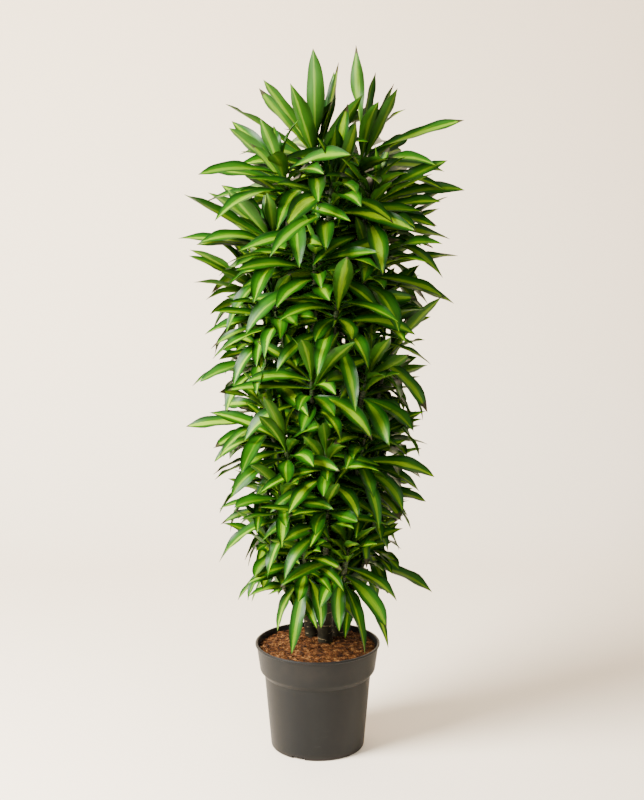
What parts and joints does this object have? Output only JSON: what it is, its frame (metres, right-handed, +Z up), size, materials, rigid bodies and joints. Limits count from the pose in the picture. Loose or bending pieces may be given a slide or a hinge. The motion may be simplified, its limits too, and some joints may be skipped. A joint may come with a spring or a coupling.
{
  "type": "potted corn plant",
  "caption": "Branched corn plant (striped-leaf dracaena): leafy heads on woody canes, standing in soil in a round, tapered nursery pot that rests on its base.",
  "frame": {"origin": "on the floor under the middle of the pot's base", "axes": "+Z up along the plant, -Y towards the plant's front"},
  "size_m": [0.678, 0.616, 1.72],
  "materials": {
    "pot_plastic": "satin warm grey moulded plastic",
    "potting_soil": "loose brown coir and peat crumbs",
    "cane_bark": "brown-green bark ringed with pale leaf scars",
    "striped_leaf": "satin green leaf with a lime stripe along its middle"
  },
  "bodies": {
    "root": {"pot": "pot_plastic", "soil": "potting_soil", "cane_front": "cane_bark", "cane_left": "cane_bark", "cane_right": "cane_bark", "head_crown_left": "striped_leaf", "head_crown_right": "striped_leaf", "head_crown_front": "striped_leaf", "head_upper_left": "striped_leaf", "head_upper_right": "striped_leaf", "head_high_left": "striped_leaf", "head_high_front": "striped_leaf", "head_high_right": "striped_leaf", "head_shoulder_front": "striped_leaf", "head_shoulder_left": "striped_leaf", "head_shoulder_right": "striped_leaf", "head_waist_far_left": "striped_leaf", "head_waist_front": "striped_leaf", "head_waist_right": "striped_leaf", "head_middle_left": "striped_leaf", "head_middle_front_left": "striped_leaf", "head_middle_front": "striped_leaf", "head_middle_right": "striped_leaf", "head_low_left": "striped_leaf", "head_low_front": "striped_leaf", "head_low_right": "striped_leaf", "head_foot_left": "striped_leaf", "head_foot_front_left": "striped_leaf", "head_foot_front_right": "striped_leaf", "head_foot_right": "striped_leaf", "head_side_right_high": "striped_leaf", "head_side_right_middle": "striped_leaf", "head_side_right_low": "striped_leaf", "head_side_left_high": "striped_leaf", "head_side_left_low": "striped_leaf", "head_back_crown": "striped_leaf", "head_back_high_left": "striped_leaf", "head_back_high_right": "striped_leaf", "head_back_waist": "striped_leaf", "head_back_middle_left": "striped_leaf", "head_back_middle_right": "striped_leaf", "head_back_low": "striped_leaf", "head_back_low_left": "striped_leaf", "head_back_low_right": "striped_leaf", "head_back_foot": "striped_leaf"}
  },
  "joints": []
}
